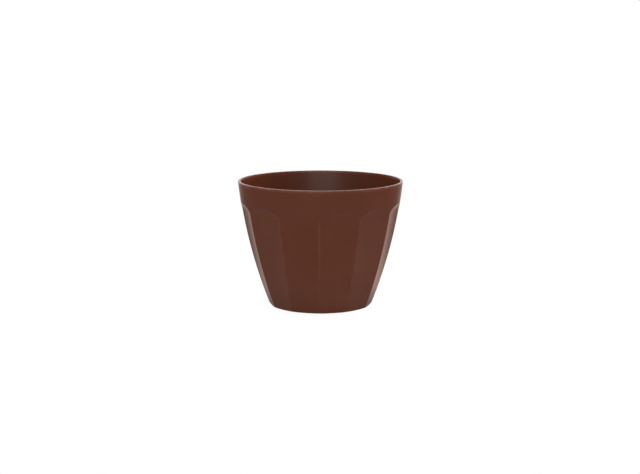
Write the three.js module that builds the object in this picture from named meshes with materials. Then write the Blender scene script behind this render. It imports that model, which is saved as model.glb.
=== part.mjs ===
// Cachepot: a cover for a plant pot, moulded in one piece with a wall of even thickness.
// The rim and the band below it are round. Under the band the wall turns into facets,
// each starting in a round arch. They are slightly hollow, flatten out on the way down,
// and end at the round corner of the foot.
// Millimetres, +Z up. The origin is the middle of the face that the pot stands on, and
// the front of the pot, where two facets meet in an edge, faces -Y.

import * as THREE from "three";
import { toCreasedNormals } from "three/addons/utils/BufferGeometryUtils.js";

// Overall size
const rimDiameter = 140;
const potHeight = 106.5;

// The wall: its thickness, and its side, one long arc that leans out more at the foot
// than at the rim
const wallThickness = 2.2;
const rimLeanDegrees = 6;
const footLeanDegrees = 21.25;
const footCornerRadius = 2.8;
const floorCornerRadius = 2.5;
const rimEdgeRadius = 0.5;

// The facets: how many there are, how far below the rim each arch starts, and how far
// below its own top an arch has come in to its facet
const facetCount = 12;
const archTopBelowRim = 17.8;
const archRise = 7.4;

// The hollow of a facet: how far its surface turns inwards at its edges, and the height
// below which it flattens out
const hollowDegrees = 5.8;
const hollowHeight = 55;

// The underside: a foot ring to stand on, the recess inside it, and the mark that the
// moulding gate leaves in the middle of the recess
const footRingWidth = 8;
const recessDepth = 1.5;
const recessSideSlope = 0.4;
const gateDimpleRadius = 5;
const gateDimpleDepth = 0.6;
const gateStubRadius = 1.5;
const gateStubHeight = 0.4;

// How finely the round shapes are stepped
const stepsPerFacet = 8;
const gateStepsPerFacet = 2;
const facetRows = 9;
const archRows = 6;
const bandRows = 3;
const cornerSteps = 4;
const edgeSteps = 2;

const rimRadius = rimDiameter / 2;
const rimLean = THREE.MathUtils.degToRad(rimLeanDegrees);
const footLean = THREE.MathUtils.degToRad(footLeanDegrees);
const facetAngle = (2 * Math.PI) / facetCount;
const facetFlatness = Math.cos(facetAngle / 2);
const fullHollow =
  Math.sin(facetAngle / 2) * Math.tan(THREE.MathUtils.degToRad(hollowDegrees)) / 2;
const archTop = potHeight - archTopBelowRim;
const archSpring = archTop - archRise;

// The rows that follow the arches start a little under the springs.
const archFoot = archSpring - archRise / 2;

// The outside is three arcs in the plane of radius and height, each tangent to the next:
// the foot corner, the long arc of the side, and the rounded edge of the rim.
const edgeCentre = new THREE.Vector2(rimRadius - rimEdgeRadius, potHeight - rimEdgeRadius);
const sideArcRadius =
  (edgeCentre.y - rimEdgeRadius * Math.sin(rimLean)
    - footCornerRadius * (1 - Math.sin(footLean)))
  / (Math.sin(footLean) - Math.sin(rimLean));
const sideCentre = new THREE.Vector2(
  edgeCentre.x - (sideArcRadius - rimEdgeRadius) * Math.cos(rimLean),
  edgeCentre.y + (sideArcRadius - rimEdgeRadius) * Math.sin(rimLean),
);
const cornerCentre = new THREE.Vector2(
  sideCentre.x + (sideArcRadius - footCornerRadius) * Math.cos(footLean),
  footCornerRadius,
);

const recessRadius = cornerCentre.x - footRingWidth;

const brownPlastic = new THREE.MeshStandardMaterial({
  color: new THREE.Color().setRGB(0.3, 0.145, 0.095, THREE.SRGBColorSpace),
  roughness: 0.42,
  metalness: 0,
});

// Points on an arc in the plane of radius and height, both ends included.
function arc(centre, radius, fromAngle, toAngle, steps) {
  const points = [];
  for (let step = 0; step <= steps; step += 1) {
    const angle = THREE.MathUtils.lerp(fromAngle, toAngle, step / steps);
    const x = centre.x + radius * Math.cos(angle);
    const y = centre.y + radius * Math.sin(angle);
    points.push(new THREE.Vector2(x, y));
  }
  return points;
}

// The side's arc on the surface that lies inset under the outer one: its angle, and the
// radius of the round pot there, at a height.
function sideAngle(height, inset) {
  return -Math.asin((sideCentre.y - height) / (sideArcRadius - inset));
}

function sideRadius(height, inset) {
  return sideCentre.x + (sideArcRadius - inset) * Math.cos(sideAngle(height, inset));
}

// How deep the hollow of a facet is at a height, as a share of the pot's radius.
function hollowDepth(height) {
  const reach = THREE.MathUtils.clamp(height / hollowHeight, 0, 1);
  return fullHollow * (1 - (1 - reach) ** 2);
}

// The radius of a facet at an angle off its middle, as a share of the radius at its
// edges: a flat, less a hollow in the shape of a parabola.
function facetShape(offMiddle, hollow) {
  const across = Math.tan(offMiddle) / Math.tan(facetAngle / 2);
  return (facetFlatness - hollow * (1 - across ** 2)) / Math.cos(offMiddle);
}

// How far in from the round pot the middle of a facet lies near the arch, as a scale on
// its radius. It is 1 at the top of the arch, and is tangent to the rest of the facet at
// the arch's spring.
function archScale(height) {
  const reach = THREE.MathUtils.clamp((archTop - height) / archRise, 0, 1);
  const share = 1 - (1 - reach) ** 2;
  return 1 - share * (1 - facetShape(0, fullHollow));
}

// The height of the arch, where the facet meets the round band, at an angle off the
// middle of the facet. This is archScale solved for the height.
function archLine(offMiddle) {
  const middle = facetShape(0, fullHollow);
  const share = (1 - middle / facetShape(offMiddle, fullHollow)) / (1 - middle);
  const reach = 1 - Math.sqrt(Math.max(0, 1 - share));
  return archTop - archRise * reach;
}

// A point of the foot corner, at an angle round its arc from straight down.
function cornerPoint(turn) {
  const x = cornerCentre.x + footCornerRadius * Math.sin(turn);
  const y = cornerCentre.y - footCornerRadius * Math.cos(turn);
  return new THREE.Vector2(x, y);
}

// How far round the foot corner a facet ends, at an angle off the middle of the facet.
// The range that holds the answer is halved until it is small.
function cornerEnd(offMiddle) {
  let low = 0;
  let high = Math.PI / 2 - footLean;
  for (let halving = 0; halving < 30; halving += 1) {
    const middle = (low + high) / 2;
    const { x, y } = cornerPoint(middle);
    if (x < sideRadius(y, 0) * facetShape(offMiddle, hollowDepth(y))) {
      low = middle;
    } else {
      high = middle;
    }
  }
  return high;
}

// A ring of points round +Z from the front edge on. shapeAt gives the radius and the
// height at an angle off the middle of the facet.
function ring(stepsInFacet, shapeAt) {
  const points = [];
  for (let facet = 0; facet < facetCount; facet += 1) {
    for (let step = 0; step < stepsInFacet; step += 1) {
      const inFacet = (step / stepsInFacet) * facetAngle;
      const { x: radius, y: height } = shapeAt(inFacet - facetAngle / 2);
      const angle = facet * facetAngle + inFacet;
      const x = radius * Math.sin(angle);
      const y = -radius * Math.cos(angle);
      points.push(new THREE.Vector3(x, y, height));
    }
  }
  return points;
}

// The rings of an outline of radius and height.
function ringsOf(outline, stepsInFacet) {
  return outline.map((point) => ring(stepsInFacet, () => point));
}

// The round foot corner outside, up to the lower ends of the facets.
function footCornerRings() {
  const rings = [];
  for (let step = 0; step < cornerSteps; step += 1) {
    const share = step / cornerSteps;
    rings.push(ring(stepsPerFacet, (offMiddle) => cornerPoint(cornerEnd(offMiddle) * share)));
  }
  return rings;
}

// The outside of the facets, from their lower ends up to the arches.
function outerFacetRings() {
  const rings = [];
  for (let row = 0; row < facetRows; row += 1) {
    rings.push(ring(stepsPerFacet, (offMiddle) => {
      const foot = cornerPoint(cornerEnd(offMiddle)).y;
      const height = THREE.MathUtils.lerp(foot, archFoot, row / facetRows);
      const shape = facetShape(offMiddle, hollowDepth(height));
      return new THREE.Vector2(sideRadius(height, 0) * shape, height);
    }));
  }
  return rings;
}

// The inside of the facets. There they run on round the corner of the floor.
function innerFacetRings() {
  const inset = wallThickness + floorCornerRadius;
  const centre = new THREE.Vector2(sideRadius(inset, inset), inset);
  const cornerTop = sideAngle(inset, inset);
  const archEnd = sideAngle(archFoot, wallThickness);
  const outline = [
    ...arc(centre, floorCornerRadius, -Math.PI / 2, cornerTop, cornerSteps),
    ...arc(sideCentre, sideArcRadius - wallThickness, cornerTop, archEnd, facetRows).slice(1, -1),
  ];
  return outline.map(({ x, y }) => ring(stepsPerFacet, (offMiddle) => {
    const shape = facetShape(offMiddle, hollowDepth(y));
    return new THREE.Vector2(x * shape, y);
  }));
}

// The tops of the facets, in rows that rise to the line of the arches.
function archRings(inset) {
  const rings = [];
  for (let row = 0; row <= archRows; row += 1) {
    rings.push(ring(stepsPerFacet, (offMiddle) => {
      const height = THREE.MathUtils.lerp(archFoot, archLine(offMiddle), row / archRows);
      const shape = facetShape(offMiddle, fullHollow) / facetShape(0, fullHollow);
      return new THREE.Vector2(sideRadius(height, inset) * archScale(height) * shape, height);
    }));
  }
  return rings;
}

// The round band from the line of the arches up to a height near the rim.
function bandRings(inset, topHeight) {
  const rings = [];
  for (let row = 1; row <= bandRows; row += 1) {
    rings.push(ring(stepsPerFacet, (offMiddle) => {
      const height = THREE.MathUtils.lerp(archLine(offMiddle), topHeight, row / bandRows);
      return new THREE.Vector2(sideRadius(height, inset), height);
    }));
  }
  return rings;
}

// The underside from its middle out: the gate mark, the recess, and the inner edge of
// the foot ring.
function undersideRings() {
  const dimpleRoof = recessDepth + gateDimpleDepth;
  const gate = [
    new THREE.Vector2(gateStubRadius, dimpleRoof - gateStubHeight),
    new THREE.Vector2(gateStubRadius, dimpleRoof),
    new THREE.Vector2(gateDimpleRadius, dimpleRoof),
    new THREE.Vector2(gateDimpleRadius, recessDepth),
  ];
  const recess = [
    new THREE.Vector2(recessRadius - recessSideSlope, recessDepth),
    new THREE.Vector2(recessRadius, 0),
  ];
  return [
    [new THREE.Vector3(0, 0, dimpleRoof - gateStubHeight)],
    ...ringsOf(gate, gateStepsPerFacet),
    ...ringsOf(recess, stepsPerFacet),
  ];
}

// The rim: its outer edge, the flat on top, and its inner edge.
function rimRings(mouthCentre, mouthAngle) {
  const outline = [
    ...arc(edgeCentre, rimEdgeRadius, -rimLean, Math.PI / 2, edgeSteps).slice(1),
    ...arc(mouthCentre, rimEdgeRadius, Math.PI / 2, Math.PI + mouthAngle, edgeSteps).slice(0, -1),
  ];
  return ringsOf(outline, stepsPerFacet);
}

// The floor inside, to its middle. It is raised over the recess, so that the base is as
// thick as the wall, and a gutter for spilt water runs round it.
function floorRings() {
  const raisedRadius = recessRadius + wallThickness;
  const raisedFloor = recessDepth + wallThickness;
  const outline = [
    new THREE.Vector2(raisedRadius, wallThickness),
    new THREE.Vector2(raisedRadius - recessSideSlope, raisedFloor),
  ];
  return [...ringsOf(outline, stepsPerFacet), [new THREE.Vector3(0, 0, raisedFloor)]];
}

// Joins rings into one closed skin. A ring with fewer points than the next is joined to
// it by fans.
function skin(rings) {
  const positions = rings.flat().flatMap((point) => point.toArray());
  const triangles = [];
  let first = 0;
  for (let level = 0; level + 1 < rings.length; level += 1) {
    const here = rings[level].length;
    const next = rings[level + 1].length;
    const steps = Math.max(here, next);
    const indexHere = (step) => first + (Math.round((step * here) / steps) % here);
    const indexNext = (step) => first + here + (Math.round((step * next) / steps) % next);
    for (let step = 0; step < steps; step += 1) {
      if (indexHere(step) !== indexHere(step + 1)) {
        triangles.push(indexHere(step), indexHere(step + 1), indexNext(step + 1));
      }
      if (indexNext(step) !== indexNext(step + 1)) {
        triangles.push(indexHere(step), indexNext(step + 1), indexNext(step));
      }
    }
    first += here;
  }
  const geometry = new THREE.BufferGeometry();
  geometry.setAttribute("position", new THREE.Float32BufferAttribute(positions, 3));
  geometry.setIndex(triangles);
  return toCreasedNormals(geometry, facetAngle / 2);
}

function makePot() {
  const mouthInset = wallThickness - rimEdgeRadius;
  const mouthAngle = sideAngle(edgeCentre.y, mouthInset);
  const mouthCentre = new THREE.Vector2(sideRadius(edgeCentre.y, mouthInset), edgeCentre.y);
  const outerTop = edgeCentre.y - rimEdgeRadius * Math.sin(rimLean);
  const innerTop = mouthCentre.y + rimEdgeRadius * Math.sin(Math.PI + mouthAngle);
  const geometry = skin([
    ...undersideRings(),
    ...footCornerRings(),
    ...outerFacetRings(),
    ...archRings(0),
    ...bandRings(0, outerTop),
    ...rimRings(mouthCentre, mouthAngle),
    ...bandRings(wallThickness, innerTop).toReversed(),
    ...archRings(wallThickness).toReversed(),
    ...innerFacetRings().toReversed(),
    ...floorRings(),
  ]);
  const pot = new THREE.Mesh(geometry, brownPlastic);
  pot.name = "pot";
  return pot;
}

const cachepot = new THREE.Group();
cachepot.name = "cachepot";
cachepot.add(makePot());

export default cachepot;
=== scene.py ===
"""The looks of a moulded plastic cachepot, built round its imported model."""
import math

import bpy
import numpy as np
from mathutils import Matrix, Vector


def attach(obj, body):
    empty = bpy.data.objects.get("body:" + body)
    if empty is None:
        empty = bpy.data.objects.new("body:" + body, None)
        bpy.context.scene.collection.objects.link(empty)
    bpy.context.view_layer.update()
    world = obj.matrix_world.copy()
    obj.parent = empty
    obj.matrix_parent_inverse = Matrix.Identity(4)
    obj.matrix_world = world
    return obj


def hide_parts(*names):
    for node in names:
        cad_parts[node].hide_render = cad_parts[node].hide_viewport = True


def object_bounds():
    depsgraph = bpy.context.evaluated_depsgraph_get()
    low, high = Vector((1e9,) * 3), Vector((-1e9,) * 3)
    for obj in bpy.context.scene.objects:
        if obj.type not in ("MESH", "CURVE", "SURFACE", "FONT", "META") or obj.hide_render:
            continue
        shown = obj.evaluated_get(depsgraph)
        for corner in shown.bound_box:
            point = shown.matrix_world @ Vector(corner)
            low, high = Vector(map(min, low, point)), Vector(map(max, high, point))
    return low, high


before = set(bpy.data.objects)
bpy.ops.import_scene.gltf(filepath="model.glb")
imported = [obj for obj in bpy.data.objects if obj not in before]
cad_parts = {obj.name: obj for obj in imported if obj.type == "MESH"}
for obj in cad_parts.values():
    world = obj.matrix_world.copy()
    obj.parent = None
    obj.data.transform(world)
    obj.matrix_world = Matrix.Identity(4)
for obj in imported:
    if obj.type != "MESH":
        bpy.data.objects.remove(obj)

CAD_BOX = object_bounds()

# Lengths are millimetres up to the point where a mesh is made.
MM = 0.001

# The pot's shape, with the values of the model that it is built round
RIM_RADIUS = (CAD_BOX[1][0] - CAD_BOX[0][0]) / 2 / MM
POT_HEIGHT = CAD_BOX[1][2] / MM
WALL = 2.2
RIM_LEAN = math.radians(6.0)
FOOT_LEAN = math.radians(21.25)
FOOT_CORNER = 2.8
FLOOR_CORNER = 2.5
RIM_EDGE = 0.5
FACETS = 12
ARCH_TOP = POT_HEIGHT - 17.8
ARCH_RISE = 7.4
HOLLOW_TURN = math.radians(5.8)
HOLLOW_HEIGHT = 55.0
FOOT_RING = 8.0
RECESS_DEPTH = 1.5
RECESS_SLOPE = 0.4
GATE_DIMPLE = 5.0
GATE_DEPTH = 0.6
GATE_STUB = 1.5
GATE_STUB_HEIGHT = 0.4

# How softly the surfaces run into each other at an arris, outside and inside, and how
# far the edges of the underside and of the floor's steps are cut back
SOFT_OUTSIDE = 0.2
SOFT_INSIDE = 0.2
SOFT_STEP = 0.15

# How far the wear of an edge reaches, and with it the highlight painted at the rim and the arrises
WEAR_AND_HIGHLIGHT_REACH = 0.6

# How finely the shell is meshed, and how much closer the columns stand near an arris
# and the rows near the line of the arches
COLUMNS_PER_HALF_FACET = 13
FACET_ROWS = 30
ARCH_ROWS = 20
BAND_ROWS = 16
CORNER_ROWS = 12
EDGE_ROWS = 6
COLUMN_CROWDING = 1.7
ROW_CROWDING = 1.8

FACET_ANGLE = 2 * math.pi / FACETS
HALF_FACET = FACET_ANGLE / 2
FULL_HOLLOW = math.sin(HALF_FACET) * math.tan(HOLLOW_TURN) / 2
ARCH_FOOT = ARCH_TOP - ARCH_RISE * 1.5


# The camera

CAMERA_DISTANCE = 1155.0
CAMERA_ELEVATION = math.radians(9.864)
CAMERA_AZIMUTH = math.radians(0.9)
CAMERA_LENS = 75.85
AIM_ABOVE_MIDDLE = 4.185
AIM_LEFT_OF_MIDDLE = 0.376


def make_camera():
    middle = Vector((0, 0, POT_HEIGHT / 2))
    away = Vector((
        math.cos(CAMERA_ELEVATION) * math.sin(CAMERA_AZIMUTH),
        -math.cos(CAMERA_ELEVATION) * math.cos(CAMERA_AZIMUTH),
        math.sin(CAMERA_ELEVATION),
    ))
    right = Vector((math.cos(CAMERA_AZIMUTH), math.sin(CAMERA_AZIMUTH), 0))
    place = middle + away * CAMERA_DISTANCE
    aim = middle + Vector((0, 0, AIM_ABOVE_MIDDLE)) - right * AIM_LEFT_OF_MIDDLE
    data = bpy.data.cameras.new("photo_camera")
    data.lens = CAMERA_LENS
    data.sensor_width = 36.0
    data.clip_start = 0.01
    camera = bpy.data.objects.new("photo_camera", data)
    camera.location = place * MM
    camera.rotation_euler = (aim - place).to_track_quat("-Z", "Y").to_euler()
    bpy.context.scene.collection.objects.link(camera)
    bpy.context.scene.camera = camera


make_camera()


# The shape of the shell: three arcs in the plane of radius and height, each tangent to
# the next, and a section that turns from round to faceted at the line of the arches

EDGE_CENTRE = (RIM_RADIUS - RIM_EDGE, POT_HEIGHT - RIM_EDGE)
SIDE_ARC = (
    EDGE_CENTRE[1] - RIM_EDGE * math.sin(RIM_LEAN) - FOOT_CORNER * (1 - math.sin(FOOT_LEAN))
) / (math.sin(FOOT_LEAN) - math.sin(RIM_LEAN))
SIDE_CENTRE = (
    EDGE_CENTRE[0] - (SIDE_ARC - RIM_EDGE) * math.cos(RIM_LEAN),
    EDGE_CENTRE[1] + (SIDE_ARC - RIM_EDGE) * math.sin(RIM_LEAN),
)
CORNER_CENTRE = (
    SIDE_CENTRE[0] + (SIDE_ARC - FOOT_CORNER) * math.cos(FOOT_LEAN),
    FOOT_CORNER,
)


def side_angle(height, inset):
    return -np.arcsin((SIDE_CENTRE[1] - height) / (SIDE_ARC - inset))


def side_radius(height, inset):
    return SIDE_CENTRE[0] + (SIDE_ARC - inset) * np.cos(side_angle(height, inset))


def arc(centre, radius, start, end, steps):
    """Points on an arc, both ends included, as a list of (radius, height)."""
    angles = np.linspace(start, end, steps + 1)
    xs = centre[0] + radius * np.cos(angles)
    ys = centre[1] + radius * np.sin(angles)
    return list(zip(xs, ys))


def hollow_depth(height):
    """How deep the hollow of a facet is, as a share of the pot's radius."""
    reach = np.clip(height / HOLLOW_HEIGHT, 0, 1)
    return FULL_HOLLOW * (1 - (1 - reach) ** 2)


def facet_shape(off_middle, hollow):
    """The radius of a facet, as a share of the radius at its edges."""
    across = np.tan(off_middle) / math.tan(HALF_FACET)
    return (math.cos(HALF_FACET) - hollow * (1 - across ** 2)) / np.cos(off_middle)


MIDDLE = float(facet_shape(0.0, FULL_HOLLOW))


def arch_share(height):
    """How far a facet has come in at its arch: 0 at the arch's top, 1 below its spring."""
    reach = np.minimum((ARCH_TOP - height) / ARCH_RISE, 1)
    return 1 - (1 - reach) ** 2


def arch_line(off_middle):
    """The height at which a facet meets the round band."""
    share = (1 - MIDDLE / facet_shape(off_middle, FULL_HOLLOW)) / (1 - MIDDLE)
    reach = 1 - np.sqrt(np.clip(1 - share, 0, None))
    return ARCH_TOP - ARCH_RISE * reach


def blend(surfaces, softness):
    """The smallest of the radii, rounded where two of them meet."""
    lowest = np.minimum.reduce(surfaces)
    total = sum(np.exp((lowest - surface) / softness) for surface in surfaces)
    return lowest - softness * np.log(total)


def facet_radii(side, height, off_middle):
    """The radii of the nearest facet and of its neighbour."""
    hollow = hollow_depth(height)
    middle = facet_shape(0.0, hollow)
    scale = (1 - arch_share(height) * (1 - middle)) / middle
    neighbour = FACET_ANGLE - np.abs(off_middle)
    return [side * scale * facet_shape(angle, hollow) for angle in (off_middle, neighbour)]


def column_angles():
    """Angles round the pot and off the middle of each facet, closer near the edges."""
    steps = np.arange(-COLUMNS_PER_HALF_FACET, COLUMNS_PER_HALF_FACET)
    share = np.abs(steps) / COLUMNS_PER_HALF_FACET
    off_middle = np.sign(steps) * HALF_FACET * (1 - (1 - share) ** COLUMN_CROWDING)
    facets = np.arange(FACETS)[:, None] * FACET_ANGLE + HALF_FACET
    around = (facets + off_middle[None, :]).ravel()
    return around, np.tile(off_middle, FACETS)


AROUND, OFF_MIDDLE = column_angles()


def round_row(radius, height):
    return radius + 0 * OFF_MIDDLE, height + 0 * OFF_MIDDLE


def outer_foot_rows():
    """The round foot corner and the outside of the facets above it."""
    outline = arc(CORNER_CENTRE, FOOT_CORNER, -math.pi / 2, -FOOT_LEAN, CORNER_ROWS)
    top_angle = side_angle(ARCH_FOOT, 0)
    outline += arc(SIDE_CENTRE, SIDE_ARC, -FOOT_LEAN, top_angle, FACET_ROWS)[1:-1]
    rows = []
    for radius, height in outline:
        side = side_radius(height, 0)
        surfaces = [radius + 0 * OFF_MIDDLE] + facet_radii(side, height, OFF_MIDDLE)
        rows.append((blend(surfaces, SOFT_OUTSIDE), height + 0 * OFF_MIDDLE))
    return rows


def inner_foot_rows():
    """The inside of the facets, which run on round the corner of the floor."""
    inset = WALL + FLOOR_CORNER
    corner_top = side_angle(inset, inset)
    centre = (side_radius(inset, inset), inset)
    outline = arc(centre, FLOOR_CORNER, -math.pi / 2, corner_top, CORNER_ROWS)
    top_angle = side_angle(ARCH_FOOT, WALL)
    outline += arc(SIDE_CENTRE, SIDE_ARC - WALL, corner_top, top_angle, FACET_ROWS)[1:-1]
    rows = []
    for radius, height in outline:
        surfaces = facet_radii(radius, height, OFF_MIDDLE)
        rows.append((blend(surfaces, SOFT_INSIDE), height + 0 * OFF_MIDDLE))
    return rows


def side_row(height, inset, softness):
    side = side_radius(height, inset)
    return blend([side] + facet_radii(side, height, OFF_MIDDLE), softness), height


def arch_rows(inset, softness):
    """Rows that rise to the line of the arches, closer near it."""
    line = arch_line(OFF_MIDDLE)
    rows = []
    for row in range(ARCH_ROWS + 1):
        share = 1 - (1 - row / ARCH_ROWS) ** ROW_CROWDING
        rows.append(side_row(ARCH_FOOT + (line - ARCH_FOOT) * share, inset, softness))
    return rows


def band_rows(inset, softness, top):
    """Rows from the line of the arches up the round band, closer near the line."""
    line = arch_line(OFF_MIDDLE)
    rows = []
    for row in range(1, BAND_ROWS + 1):
        share = (row / BAND_ROWS) ** ROW_CROWDING
        rows.append(side_row(line + (top - line) * share, inset, softness))
    return rows


def shell_rows():
    """All the rows from the middle of the underside, up the outside, over the rim and
    down the inside to the middle of the floor."""
    recess = CORNER_CENTRE[0] - FOOT_RING
    roof = RECESS_DEPTH + GATE_DEPTH
    stub = roof - GATE_STUB_HEIGHT
    soft = SOFT_STEP
    underside = [
        (GATE_STUB - soft, stub),
        (GATE_STUB, stub + soft),
        (GATE_STUB, roof - soft),
        (GATE_STUB + soft, roof),
        (GATE_DIMPLE - soft, roof),
        (GATE_DIMPLE, roof - soft),
        (GATE_DIMPLE, RECESS_DEPTH + soft),
        (GATE_DIMPLE + soft, RECESS_DEPTH),
        (recess - RECESS_SLOPE - soft, RECESS_DEPTH),
        (recess - RECESS_SLOPE, RECESS_DEPTH - soft),
        (recess - soft / 2, soft),
        (recess + soft, 0.0),
    ]
    mouth_inset = WALL - RIM_EDGE
    mouth_angle = float(side_angle(EDGE_CENTRE[1], mouth_inset))
    mouth = (float(side_radius(EDGE_CENTRE[1], mouth_inset)), EDGE_CENTRE[1])
    outer_top = EDGE_CENTRE[1] - RIM_EDGE * math.sin(RIM_LEAN)
    inner_top = mouth[1] + RIM_EDGE * math.sin(math.pi + mouth_angle)
    rim = arc(EDGE_CENTRE, RIM_EDGE, -RIM_LEAN, math.pi / 2, EDGE_ROWS)[1:]
    rim += arc(mouth, RIM_EDGE, math.pi / 2, math.pi + mouth_angle, EDGE_ROWS)[:-1]
    raised = recess + WALL
    floor = RECESS_DEPTH + WALL
    inside = [
        (raised + soft, WALL),
        (raised, WALL + soft),
        (raised - RECESS_SLOPE, floor - soft),
        (raised - RECESS_SLOPE - soft, floor),
    ]
    outer = outer_foot_rows() + arch_rows(0, SOFT_OUTSIDE)
    outer += band_rows(0, SOFT_OUTSIDE, outer_top)
    inner = inner_foot_rows() + arch_rows(WALL, SOFT_INSIDE)
    inner += band_rows(WALL, SOFT_INSIDE, inner_top)
    rows = [round_row(*point) for point in underside]
    rows += outer
    rows += [round_row(*point) for point in rim]
    rows += inner[::-1]
    rows += [round_row(*point) for point in inside]
    return rows, stub, floor


def edge_wear_and_highlight(radii, heights):
    """How near each point lies to the rim's edges, an outer arris or the foot: at most 1 at the
    rim, and a quarter of that where hands touch the pot less. It pales the colour there as wear,
    and at the rim and the arrises also as a painted highlight."""
    from_arris = (HALF_FACET - np.abs(OFF_MIDDLE)) * radii
    below_arch = np.clip((arch_line(OFF_MIDDLE) + 1 - heights) / 2, 0, 1)
    sharpness = np.clip(heights / HOLLOW_HEIGHT, 0, 1)
    outside = radii > side_radius(heights, WALL / 2)
    arris = np.exp(-(from_arris / WEAR_AND_HIGHLIGHT_REACH) ** 2) * below_arch * sharpness * outside
    rim = np.exp(-((POT_HEIGHT - heights) / WEAR_AND_HIGHLIGHT_REACH) ** 2)
    foot = np.exp(-(heights / WEAR_AND_HIGHLIGHT_REACH) ** 2)
    return np.maximum.reduce([arris / 4, rim, foot / 4])


def make_shell():
    rows, stub, floor = shell_rows()
    radii = np.array([row[0] for row in rows])
    heights = np.array([row[1] for row in rows])
    xs = radii * np.sin(AROUND)
    ys = -radii * np.cos(AROUND)
    grid = np.stack([xs, ys, heights], axis=-1)
    levels, columns = radii.shape
    points = np.concatenate([grid.reshape(-1, 3), [[0, 0, stub], [0, 0, floor]]]) * MM
    first_pole = levels * columns
    last_pole = first_pole + 1
    faces = []
    for column in range(columns):
        beside = (column + 1) % columns
        faces.append((first_pole, beside, column))
        for level in range(levels - 1):
            here = level * columns
            above = here + columns
            faces.append((here + column, here + beside, above + beside, above + column))
        top = (levels - 1) * columns
        faces.append((top + column, top + beside, last_pole))
    mesh = bpy.data.meshes.new("pot_shell")
    mesh.from_pydata(points.tolist(), [], faces)
    # Wear along the rim, the arrises and the foot, which at the rim and the arrises also carries a
    # painted highlight
    wear = np.concatenate([edge_wear_and_highlight(radii, heights).ravel(), [0, 0]])
    attribute = mesh.attributes.new("edge_wear_and_highlight", "FLOAT", "POINT")
    attribute.data.foreach_set("value", wear)
    mesh.shade_smooth()
    shell = bpy.data.objects.new("pot_shell", mesh)
    bpy.context.scene.collection.objects.link(shell)
    return shell


# The moulded plastic

BROWN = (0.098, 0.0240, 0.0097, 1.0)
DEEP_BROWN = (0.092, 0.0221, 0.0086, 1.0)
# The paler edge colour: wear, and at the rim and the arrises a painted highlight
WORN_AND_HIGHLIGHT_BROWN = (0.230, 0.0855, 0.0540, 1.0)

# How wide the features of the surface are, and how high its grain and ripples stand
CLOUD_SIZE = 22
GRAIN_SIZE = 0.45
FLOW_SIZE = 7
FLOW_SQUEEZE = 0.06
RIPPLE_SIZE = 30
WEAR_SIZE = 4
GRAIN_HEIGHT = 0.002
RIPPLE_HEIGHT = 0.05

# The roughness from flow line to flow line, what the cloudiness adds to it, and what
# the polish takes off at the rim. Off the rim it stays above 0.274, below which the
# renderer's noise filter treats a surface in another way and leaves marks along the line.
ROUGHNESS = (0.275, 0.33)
CLOUD_ROUGHNESS = 0.005
RIM_POLISH = (0.06, 0.14)


class Network:
    """Adds nodes to a material or a world, and links sockets or sets their values."""

    def __init__(self, owner):
        owner.use_nodes = True
        self.nodes = owner.node_tree.nodes
        self.links = owner.node_tree.links

    def add(self, kind, inputs, **settings):
        node = self.nodes.new("ShaderNode" + kind)
        for name, value in settings.items():
            setattr(node, name, value)
        for socket, value in inputs.items():
            if isinstance(value, bpy.types.NodeSocket):
                self.links.new(value, node.inputs[socket])
            else:
                node.inputs[socket].default_value = value
        return node

    def maths(self, operation, *values):
        node = self.add("Math", dict(enumerate(values)), operation=operation)
        return node.outputs[0]

    def spread(self, value, low, high):
        """Maps 0 to low and 1 to high."""
        node = self.add("MapRange", {"Value": value, "To Min": low, "To Max": high})
        return node.outputs["Result"]

    def window(self, value, start, end):
        """Maps start to 0 and end to 1, smoothly."""
        inputs = {"Value": value, "From Min": start, "From Max": end}
        node = self.add("MapRange", inputs, interpolation_type="SMOOTHSTEP")
        return node.outputs["Result"]

    def noise(self, vector, grain, detail):
        """Noise whose features are about grain millimetres across."""
        inputs = {"Vector": vector, "Scale": 1 / (grain * MM), "Detail": detail}
        return self.add("TexNoise", inputs).outputs["Fac"]

    def mix(self, share, first, second):
        """Mixes two numbers, which a Mix node takes at its inputs 2 and 3."""
        return self.add("Mix", {"Factor": share, 2: first, 3: second}).outputs[0]

    def mix_colours(self, share, first, second):
        """Mixes two colours, which a Mix node takes at its inputs 6 and 7."""
        inputs = {"Factor": share, 6: first, 7: second}
        return self.add("Mix", inputs, data_type="RGBA").outputs[2]


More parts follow.
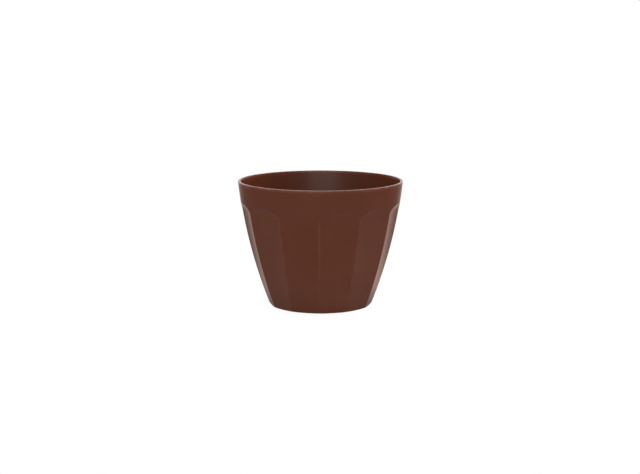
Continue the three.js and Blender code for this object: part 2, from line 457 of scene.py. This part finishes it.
def plastic():
    """Satin plastic from a spark-eroded mould: a fine grain, a faint cloudiness in the brown, flow
    lines up the wall, and edges that handling has polished and paled, the paler colour at the rim
    and the arrises also being a painted highlight."""
    material = bpy.data.materials.new("brown_plastic")
    net = Network(material)
    place = net.add("TexCoord", {}).outputs["Object"]
    cloud = net.window(net.noise(place, CLOUD_SIZE, 3), 0.3, 0.7)
    grain = net.noise(place, GRAIN_SIZE, 2)
    upright = net.add("Mapping", {"Vector": place, "Scale": (1, 1, FLOW_SQUEEZE)}).outputs[0]
    flow = net.noise(upright, FLOW_SIZE, 2)
    ripple = net.noise(place, RIPPLE_SIZE, 1)

    attribute = net.add("Attribute", {}, attribute_name="edge_wear_and_highlight").outputs["Fac"]
    patches = net.window(net.noise(place, WEAR_SIZE, 4), 0.35, 0.7)
    # Wear in patches, which at the rim and the arrises also paints a highlight
    wear_and_highlight = net.maths("MULTIPLY", attribute, net.spread(patches, 0.3, 1.0))

    brown = net.mix_colours(cloud, DEEP_BROWN, BROWN)
    tone = net.add("HueSaturation", {
        "Value": net.spread(grain, 0.95, 1.05),
        "Color": net.mix_colours(wear_and_highlight, brown, WORN_AND_HIGHLIGHT_BROWN),
    }).outputs["Color"]

    clouding = net.spread(cloud, -CLOUD_ROUGHNESS, CLOUD_ROUGHNESS)
    rough = net.maths("ADD", net.spread(flow, *ROUGHNESS), clouding)
    at_rim = net.window(attribute, 0.25, 0.6)
    polish = net.maths("MULTIPLY", at_rim, net.spread(patches, *RIM_POLISH))
    rough = net.maths("SUBTRACT", rough, polish)

    grained = net.add("Bump", {
        "Strength": 1.0,
        "Distance": GRAIN_HEIGHT * MM,
        "Height": grain,
    })
    rippled = net.add("Bump", {
        "Strength": 1.0,
        "Distance": RIPPLE_HEIGHT * MM,
        "Height": net.maths("ADD", ripple, net.maths("MULTIPLY", flow, 0.2)),
        "Normal": grained.outputs["Normal"],
    })

    shader = net.nodes["Principled BSDF"]
    shader.inputs["IOR"].default_value = 1.45
    net.links.new(tone, shader.inputs["Base Color"])
    net.links.new(rough, shader.inputs["Roughness"])
    net.links.new(rippled.outputs["Normal"], shader.inputs["Normal"])
    return material


shell = make_shell()
shell.data.materials.append(plastic())
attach(shell, "root")
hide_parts("pot")


# The studio: a matt floor and a world that are white to the eye, and soft lamps

WHITE = (1.0, 1.0, 1.0, 1.0)

# The world: how bright it shines from the two sides, and where it turns from one to the
# other. Then the glow that reflections see in front, and where the glow and the white
# behind begin and are full, by how far a direction points to the back.
LIGHT_IN_FRONT = 1.08
LIGHT_BEHIND = 0.8
LIGHT_TURN = (-0.5, 0.5)
GLOW_IN_GLOSS = 0.35
GLOW_FADE = (-0.3, -1.0)
BEHIND_FADE = (0.4, 1.0)

# The floor's reach and level in metres. It lies a hair below the foot ring, which would
# otherwise share its plane.
FLOOR_REACH = 6.0
FLOOR_LEVEL = -0.05 * MM

# The floor to the eye: how much of it is lit, so that the shadow shows, how strongly
# the rest shines near the pot, and the distances over which it turns plain white
FLOOR_COLOUR = (0.9, 0.9, 0.9, 1.0)
SHADOW_TO_EYE = 0.2
NEAR_STRENGTH = 1.08
EYE_FADE = (0.12, 0.45)

# The floor in reflections, a painted glow that only reflections see: its strength in front, beside
# the pot and in the fan behind, which paints the highlights on the pot's side facets, and the fan's
# colour, a painted warm bounce from the pot. All places are metres from the middle of the pot, and
# a pair of them says where a fade starts and where it ends.
FLOOR_IN_GLOSS = 0.12
SIDES_IN_GLOSS = 0.27
PAINTED_FAN_IN_GLOSS = 1.1
PAINTED_BOUNCE_COLOUR = (1.0, 0.77, 0.67, 1.0)
FAN_MIDDLE = 0.006
FAN_FOOT = (0.05, -0.02)
FAN_SLANTS = (0.75, 0.2)
FAN_FADE = (-0.02, 0.06)
FAN_TINT_FADE = (0.0, 0.5)
SIDES_FRONT_FADE = (-0.12, -0.04)
SIDES_BACK_FADE = (0.05, -0.01)
SIDES_OUTER_FADE = (0.35, 0.18)
WHITE_FADE = (0.2, 1.2)


def seen_by(net):
    """1 for a ray from the camera, and 1 for a reflected or refracted ray."""
    path = net.add("LightPath", {})
    gloss = net.maths("MAXIMUM", path.outputs["Is Glossy Ray"], path.outputs["Is Transmission Ray"])
    return path.outputs["Is Camera Ray"], gloss


def make_world():
    """A white room to the eye, and a tent as a light. Reflections show it white behind
    the pot, dark at the sides, and with a soft glow in front."""
    world = bpy.data.worlds.new("studio")
    net = Network(world)
    eye, gloss = seen_by(net)
    direction = net.add("TexCoord", {}).outputs["Generated"]
    towards_back = net.add("SeparateXYZ", {"Vector": direction}).outputs["Y"]
    behind = net.window(towards_back, *BEHIND_FADE)
    glow = net.spread(net.window(towards_back, *GLOW_FADE), 0.0, GLOW_IN_GLOSS)
    mirrored = net.maths("MAXIMUM", behind, glow)
    light = net.spread(net.window(towards_back, *LIGHT_TURN), LIGHT_IN_FRONT, LIGHT_BEHIND)
    strength = net.mix(eye, net.mix(gloss, light, mirrored), 1.0)
    background = net.nodes["Background"]
    background.inputs["Color"].default_value = WHITE
    net.links.new(strength, background.inputs["Strength"])
    bpy.context.scene.world = world


def floor_material():
    """A matt floor that is white to the eye, but for the pot's shadow near the pot. Reflections see
    it as a painted glow: dim in front, lighter beside the pot, white further back, and in between a
    bright fan that paints the highlights on the pot's side facets, warmed by a painted bounce
    colour from the pot."""
    material = bpy.data.materials.new("pale_floor")
    net = Network(material)
    eye, gloss = seen_by(net)
    place = net.add("TexCoord", {}).outputs["Object"]
    reach = net.add("VectorMath", {0: place}, operation="LENGTH").outputs["Value"]
    eye_far = net.window(reach, *EYE_FADE)
    eye_share = net.maths("MULTIPLY", eye, net.spread(eye_far, 1 - SHADOW_TO_EYE, 1.0))
    eye_white = net.spread(eye_far, NEAR_STRENGTH, 1.0)

    across, towards_back, _ = net.add("SeparateXYZ", {"Vector": place}).outputs
    off_middle = net.maths("ABSOLUTE", net.maths("SUBTRACT", across, FAN_MIDDLE))
    foot_across, foot_back = FAN_FOOT
    slant = net.maths(
        "DIVIDE",
        net.maths("SUBTRACT", off_middle, foot_across),
        net.maths("SUBTRACT", towards_back, foot_back),
    )
    # The fan is a painted glow behind the pot that only reflections see; it paints the highlights
    # on the pot's side facets
    fan = net.maths(
        "MULTIPLY",
        net.window(towards_back, *FAN_FADE),
        net.window(slant, *FAN_SLANTS),
    )
    beside = net.maths(
        "MULTIPLY",
        net.window(towards_back, *SIDES_FRONT_FADE),
        net.window(towards_back, *SIDES_BACK_FADE),
    )
    beside = net.maths("MULTIPLY", beside, net.window(reach, *SIDES_OUTER_FADE))
    dim = net.spread(beside, FLOOR_IN_GLOSS, SIDES_IN_GLOSS)
    painted_gloss_glow = net.maths(
        "MAXIMUM",
        net.spread(fan, dim, PAINTED_FAN_IN_GLOSS),
        net.spread(net.window(towards_back, *WHITE_FADE), FLOOR_IN_GLOSS, 1.0),
    )
    strength = net.mix(gloss, eye_white, painted_gloss_glow)
    # The fan's warm colour is a painted bounce from the pot, seen only in reflections
    bounce_share = net.maths("MULTIPLY", gloss, net.window(fan, *FAN_TINT_FADE))
    bounce_tinted = net.mix_colours(bounce_share, WHITE, PAINTED_BOUNCE_COLOUR)
    white = net.add("Emission", {"Strength": strength, "Color": bounce_tinted})
    matt = net.nodes["Principled BSDF"]
    matt.inputs["Base Color"].default_value = FLOOR_COLOUR
    matt.inputs["Roughness"].default_value = 0.8
    matt.inputs["Specular IOR Level"].default_value = 0.0
    share = net.maths("MAXIMUM", eye_share, gloss)
    mix = net.add("MixShader", {0: share, 1: matt.outputs[0], 2: white.outputs[0]})
    output = net.nodes["Material Output"]
    net.links.new(mix.outputs[0], output.inputs["Surface"])
    return material


def make_floor():
    mesh = bpy.data.meshes.new("studio_floor")
    signs = [(-1, -1), (1, -1), (1, 1), (-1, 1)]
    corners = [(FLOOR_REACH * across, FLOOR_REACH * along, FLOOR_LEVEL) for across, along in signs]
    mesh.from_pydata(corners, [], [(0, 1, 2, 3)])
    mesh.materials.append(floor_material())
    floor = bpy.data.objects.new("studio_floor", mesh)
    bpy.context.scene.collection.objects.link(floor)


def softbox(name, place, size, power, in_gloss):
    data = bpy.data.lights.new(name, "AREA")
    data.shape = "RECTANGLE"
    data.size = size[0]
    data.size_y = size[1]
    data.energy = power
    light = bpy.data.objects.new(name, data)
    light.location = place
    light.visible_camera = False
    light.visible_glossy = in_gloss
    target = Vector((0, 0, POT_HEIGHT * MM / 2))
    light.rotation_euler = (target - Vector(place)).to_track_quat("-Z", "Y").to_euler()
    bpy.context.scene.collection.objects.link(light)


make_world()
make_floor()
softbox("key_light", (-0.12, -1.5, 0.7), (1.3, 1.2), 4.2, True)
softbox("right_fill", (1.3, 0.6, 0.75), (0.7, 0.7), 8.0, False)
softbox("right_back", (1.1, 1.0, 0.45), (0.7, 0.7), 11.0, False)
softbox("left_back", (-1.1, 1.0, 0.45), (0.7, 0.7), 7.0, False)

view = bpy.context.scene.view_settings
view.view_transform = "Standard"
